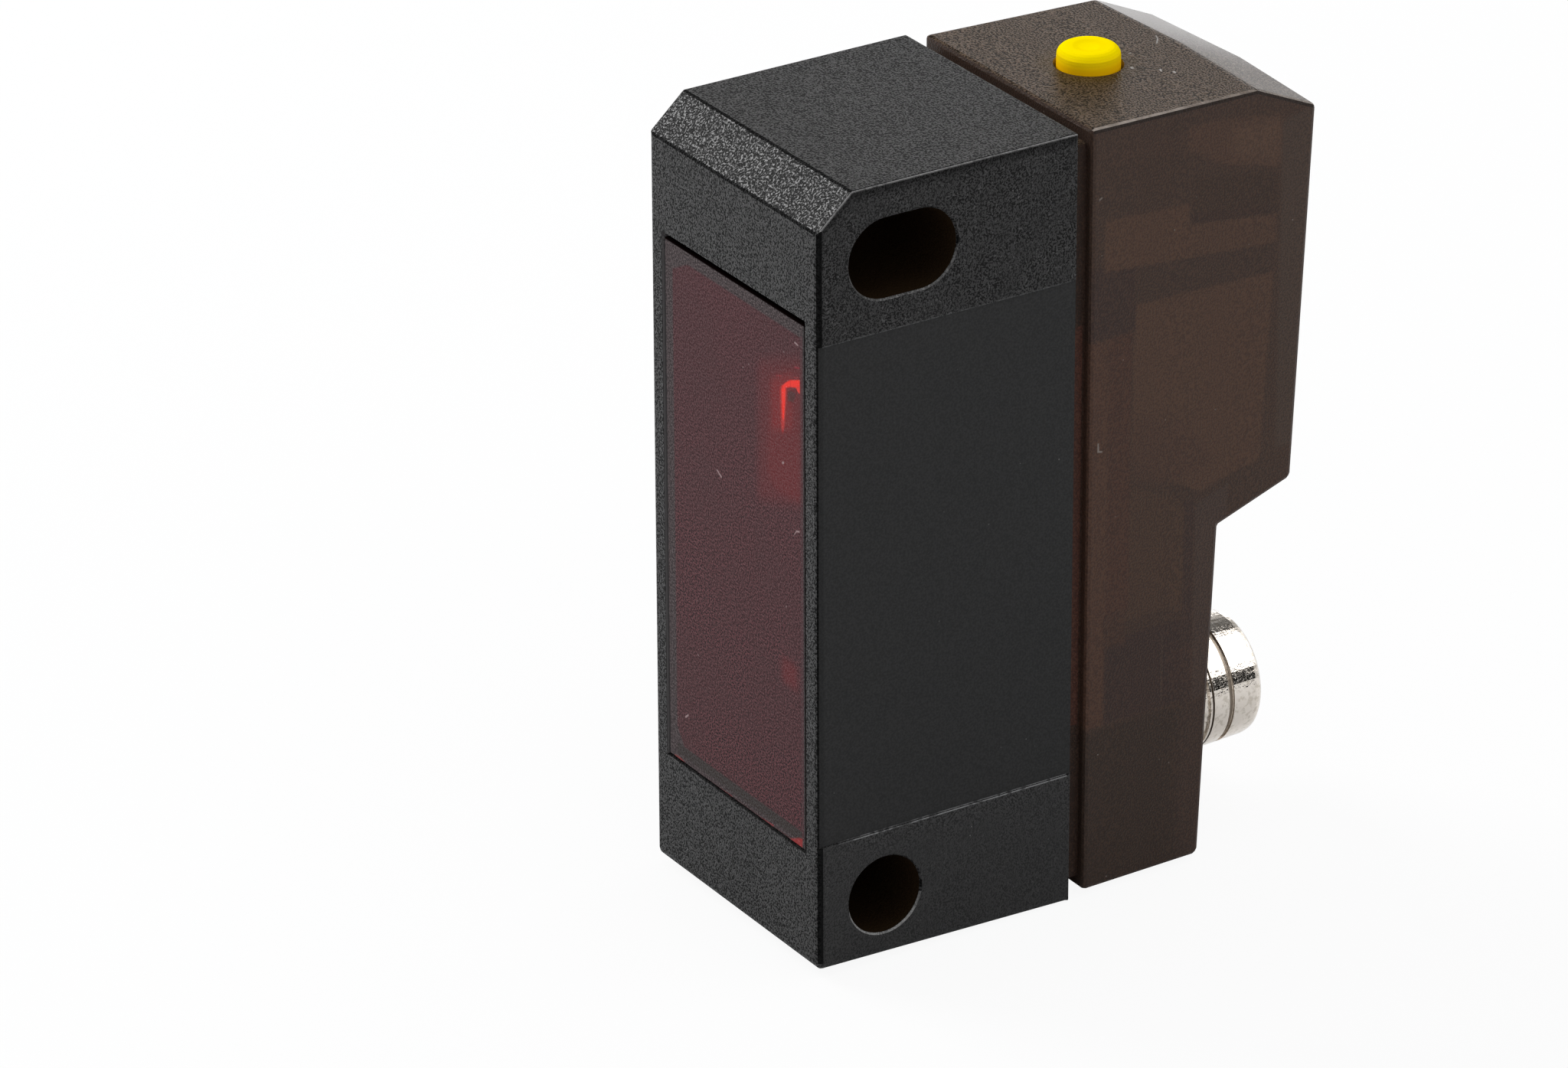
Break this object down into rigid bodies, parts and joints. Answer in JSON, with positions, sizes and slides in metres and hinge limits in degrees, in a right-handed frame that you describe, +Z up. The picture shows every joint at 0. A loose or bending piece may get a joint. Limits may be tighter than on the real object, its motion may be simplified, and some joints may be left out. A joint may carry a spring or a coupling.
{
  "type": "reflective optical sensor",
  "caption": "Compact block sensor with a dark red front window, smoky rear cover, round teach-in button, side mounting holes and a round rear connector.",
  "frame": {"origin": "bottom centre of the bounding box", "axes": "+Z up, window facing -Y, connector pointing to +Y, mounting holes along X"},
  "size_m": [0.0156, 0.0312, 0.0442],
  "materials": {
    "housing": "grained black",
    "window": "clear dark red",
    "cover": "smoky see-through brown",
    "button": "satin yellow",
    "nickel": "nickel plated",
    "gold": "gold plated",
    "rubber": "matt black",
    "black": "matt black",
    "board": "green laminate",
    "lens": "clear",
    "diode": "dark clear",
    "emitter": "clear red",
    "amber": "amber",
    "green": "green",
    "metal": "satin"
  },
  "bodies": {
    "sensor": {"front_housing": "housing", "front_window": "window", "rear_cover": "cover", "housing_seal": "rubber", "tact_switch": "metal", "button_boot": "rubber", "optics_carrier": "black", "receiver_lens": "lens", "emitter_lens": "lens", "emitter_led": "emitter", "receiver_diode": "diode", "optics_board": "board", "main_board": "board", "pin_board": "board", "board_header": "black", "signal_chip": "black", "output_led": "amber", "power_led": "green", "connector_shell": "nickel", "connector_insert": "black", "contact_pin_1": "gold", "contact_pin_2": "gold", "contact_pin_3": "gold", "contact_pin_4": "gold", "connector_seal": "rubber"},
    "button": {"teach_button": "button", "switch_plunger": "black"}
  },
  "joints": [
    {"name": "button_press", "type": "slide", "parent": "sensor", "child": "button", "axis": [0, 0, -1], "range_m": [0, 0.0004], "stiffness_N_per_m": 1500, "springref_m": -0.0002}
  ]
}
